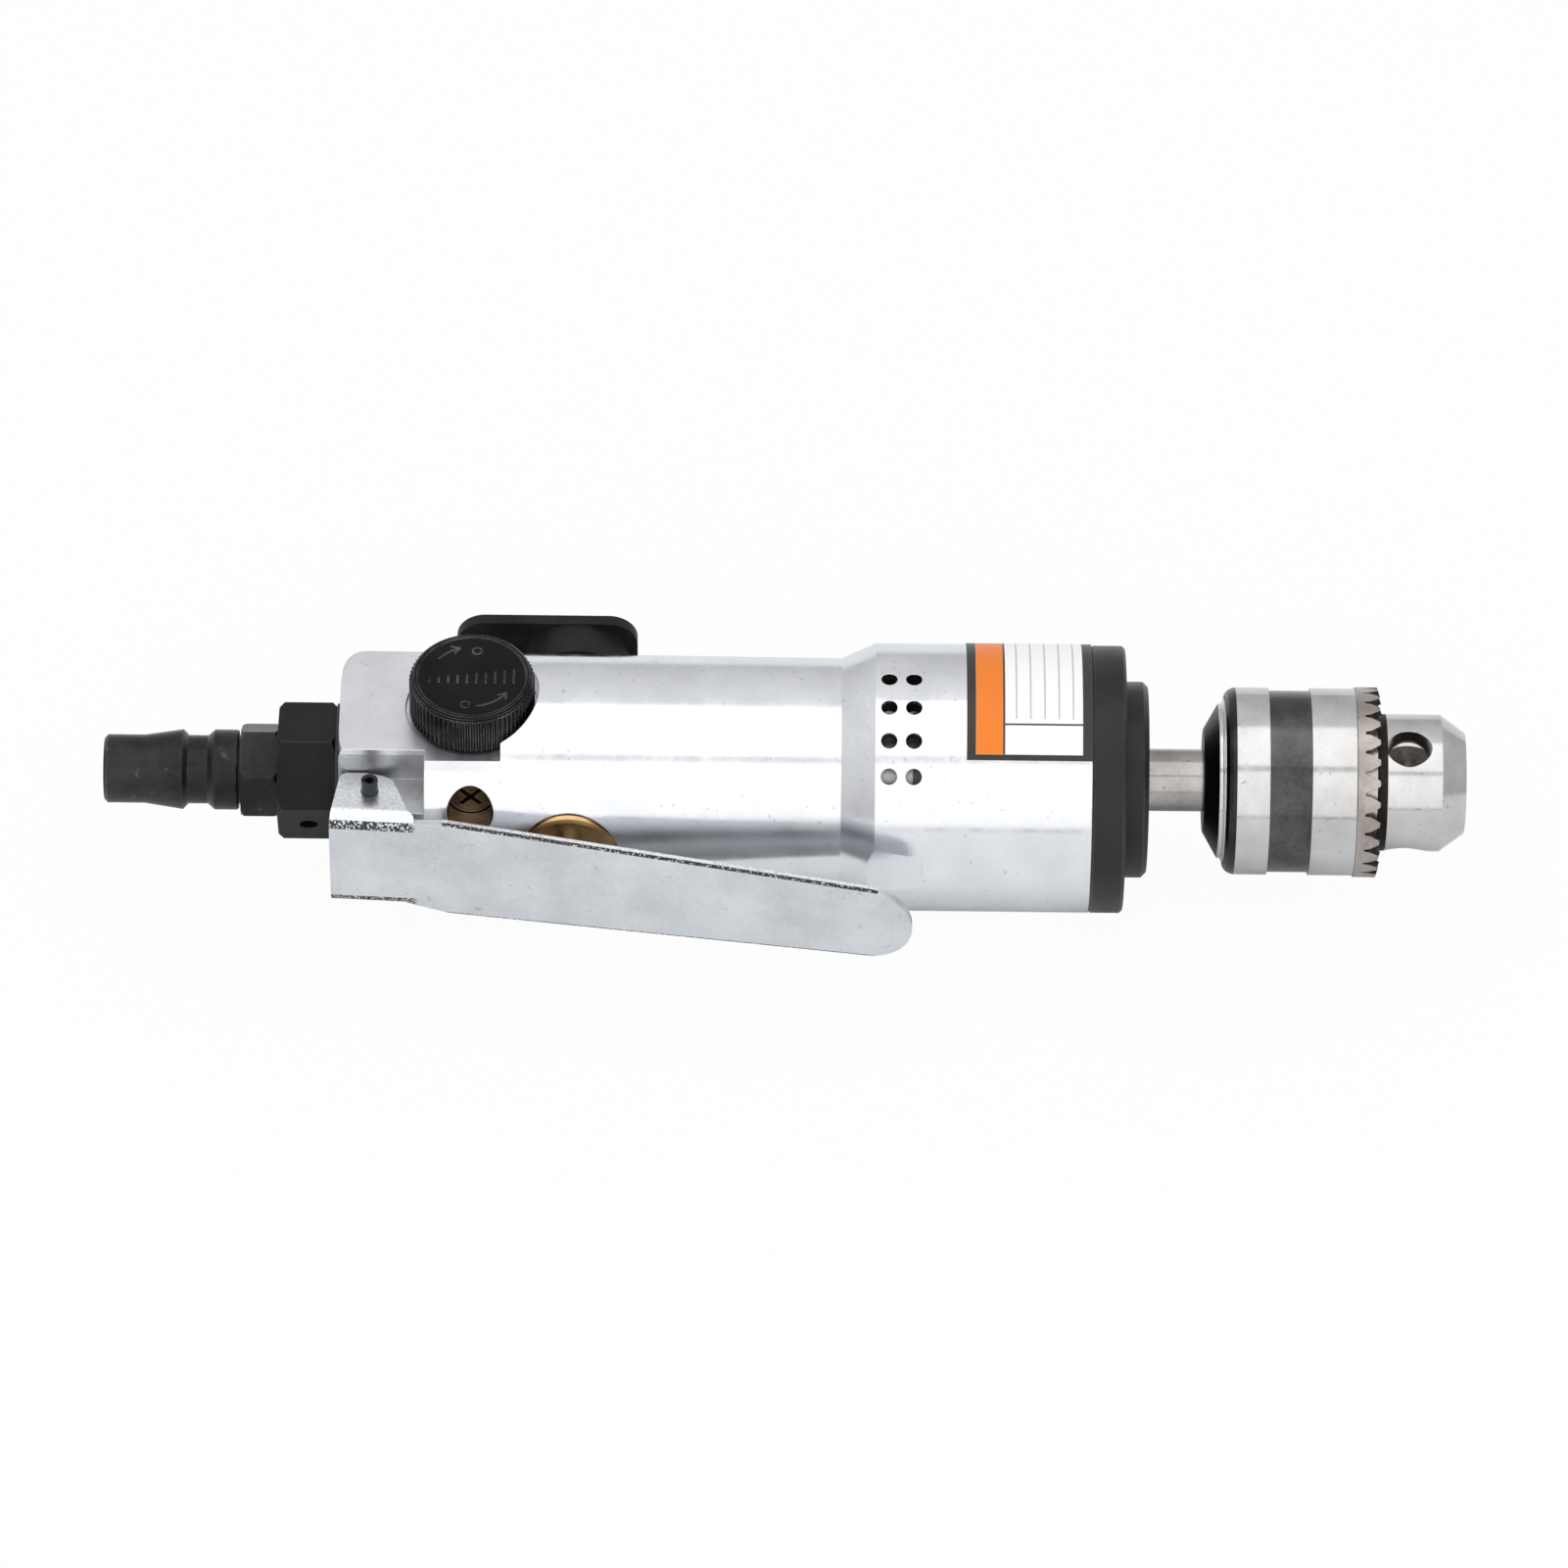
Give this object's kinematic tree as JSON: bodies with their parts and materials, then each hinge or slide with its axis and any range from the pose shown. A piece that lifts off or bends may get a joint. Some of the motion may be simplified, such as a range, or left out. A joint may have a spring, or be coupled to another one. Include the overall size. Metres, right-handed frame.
{
  "type": "air drill",
  "caption": "Straight air drill with a slender aluminium housing, keyed chuck, long throttle lever, regulator knob, reversing lever and quick-connect air plug.",
  "frame": {"origin": "centre of the chuck's front face", "axes": "+X along the spindle out of the chuck, +Z towards the regulator knob, -Y towards the throttle lever"},
  "size_m": [0.2441, 0.0669, 0.0487],
  "materials": {
    "aluminium": "fine turned, satin",
    "steel": "ground",
    "lever_steel": "zinc plated, scratched",
    "chuck_steel": "ground bands between blackened bands",
    "black_steel": "black oxide, satin",
    "cap_paint": "black satin",
    "knob": "black, knurled",
    "paddle": "black, moulded",
    "brass": "machined",
    "bronze": "dark",
    "cast_iron": "machined",
    "rubber": "matte",
    "gasket": "fibre",
    "vane": "fibre and resin",
    "label": "printed film"
  },
  "bodies": {
    "housing": {"housing": "aluminium", "inlet_washer": "rubber", "inlet_bushing": "black_steel", "inlet_screen": "steel", "air_plug": "black_steel", "front_cap": "cap_paint", "shaft_seal": "rubber", "label": "label", "lever_pin": "black_steel", "throttle_bush": "brass", "regulator_screw": "bronze", "reverse_bush": "brass", "rear_gasket": "gasket", "rear_end_plate": "cast_iron", "motor_cylinder": "steel", "front_end_plate": "cast_iron", "motor_dowel": "steel", "rotor_bearing_rear_outer": "steel", "rotor_bearing_front_outer": "steel", "ring_gear": "cast_iron", "bearing_case": "steel", "spindle_bearing_rear_outer": "steel", "spindle_bearing_front_outer": "steel", "bearing_spacer": "steel"},
    "lever": {"throttle_lever": "lever_steel"},
    "stem": {"throttle_stem": "steel", "valve_seal": "rubber", "throttle_spring": "steel"},
    "regulator": {"regulator_knob": "knob", "regulator_stem": "brass", "regulator_o_rings": "rubber"},
    "reverser": {"reverse_lever": "paddle", "reverse_spool": "aluminium", "reverse_screw": "black_steel", "spool_clip": "steel"},
    "spindle": {"spindle": "steel", "planet_pins": "steel", "spindle_bearing_rear_inner": "steel", "spindle_bearing_front_inner": "steel", "chuck_body": "chuck_steel", "chuck_screw": "black_steel"},
    "rotor": {"rotor": "steel", "rotor_vanes": "vane", "sun_gear": "steel", "rotor_bearing_rear_inner": "steel", "rotor_bearing_front_inner": "steel"},
    "planet_1": {"planet_gear_1": "steel"},
    "planet_2": {"planet_gear_2": "steel"},
    "planet_3": {"planet_gear_3": "steel"},
    "spindle_balls": {"spindle_bearing_balls": "steel"},
    "rotor_balls": {"rotor_bearing_balls": "steel"},
    "sleeve": {"chuck_sleeve": "chuck_steel", "chuck_nut": "steel"},
    "jaw_1": {"jaw_1": "steel"},
    "jaw_2": {"jaw_2": "steel"},
    "jaw_3": {"jaw_3": "steel"}
  },
  "joints": [
    {"name": "lever_hinge", "type": "hinge", "parent": "housing", "child": "lever", "pos_m": [-0.1958, -0.01565, 0], "axis": [0, 0, 1], "range_deg": [0, 7], "stiffness_Nm_per_rad": 1.67, "springref_deg": -7.68},
    {"name": "stem_slide", "type": "slide", "parent": "housing", "child": "stem", "axis": [0, 1, 0], "range_m": [0, 0.00444], "deforming": ["throttle_spring"]},
    {"name": "regulator_turn", "type": "hinge", "parent": "housing", "child": "regulator", "pos_m": [-0.1779, 0, 0], "axis": [0, 0, 1], "range_deg": [-90, 90]},
    {"name": "reverse_turn", "type": "hinge", "parent": "housing", "child": "reverser", "pos_m": [-0.1599, 0, 0], "axis": [0, 1, 0], "range_deg": [-30, 30]},
    {"name": "spindle_spin", "type": "hinge", "parent": "housing", "child": "spindle", "pos_m": [0, 0, 0], "axis": [1, 0, 0], "continuous": true},
    {"name": "rotor_spin", "type": "hinge", "parent": "housing", "child": "rotor", "pos_m": [0, 0, 0], "axis": [1, 0, 0], "continuous": true},
    {"name": "spindle_balls_spin", "type": "hinge", "parent": "housing", "child": "spindle_balls", "pos_m": [0, 0, 0], "axis": [1, 0, 0], "continuous": true},
    {"name": "rotor_balls_spin", "type": "hinge", "parent": "housing", "child": "rotor_balls", "pos_m": [0, 0, 0], "axis": [1, 0, 0], "continuous": true},
    {"name": "planet_1_spin", "type": "hinge", "parent": "spindle", "child": "planet_1", "pos_m": [0, 0, 0.01081], "axis": [1, 0, 0], "continuous": true},
    {"name": "planet_2_spin", "type": "hinge", "parent": "spindle", "child": "planet_2", "pos_m": [0, -0.00936, -0.0054], "axis": [1, 0, 0], "continuous": true},
    {"name": "planet_3_spin", "type": "hinge", "parent": "spindle", "child": "planet_3", "pos_m": [0, 0.00936, -0.0054], "axis": [1, 0, 0], "continuous": true},
    {"name": "sleeve_turn", "type": "hinge", "parent": "spindle", "child": "sleeve", "pos_m": [0, 0, 0], "axis": [-1, 0, 0], "range_deg": [0, 4806]},
    {"name": "jaw_1_slide", "type": "slide", "parent": "spindle", "child": "jaw_1", "axis": [0.9703, 0.2317, -0.0695], "range_m": [0, 0.02005]},
    {"name": "jaw_2_slide", "type": "slide", "parent": "spindle", "child": "jaw_2", "axis": [0.9703, -0.0557, 0.2354], "range_m": [0, 0.02005]},
    {"name": "jaw_3_slide", "type": "slide", "parent": "spindle", "child": "jaw_3", "axis": [0.9703, -0.1761, -0.1659], "range_m": [0, 0.02005]}
  ],
  "couplings": [
    {"joint": "stem_slide", "follows": "lever_hinge", "m_per_rad": 0.036264},
    {"joint": "rotor_spin", "follows": "spindle_spin", "ratio": 4},
    {"joint": "spindle_balls_spin", "follows": "spindle_spin", "ratio": 0.42727},
    {"joint": "rotor_balls_spin", "follows": "spindle_spin", "ratio": 1.6},
    {"joint": "planet_1_spin", "follows": "spindle_spin", "ratio": -3},
    {"joint": "planet_2_spin", "follows": "spindle_spin", "ratio": -3},
    {"joint": "planet_3_spin", "follows": "spindle_spin", "ratio": -3},
    {"joint": "jaw_1_slide", "follows": "sleeve_turn", "m_per_rad": 0.00023873},
    {"joint": "jaw_2_slide", "follows": "sleeve_turn", "m_per_rad": 0.00023873},
    {"joint": "jaw_3_slide", "follows": "sleeve_turn", "m_per_rad": 0.00023873}
  ]
}
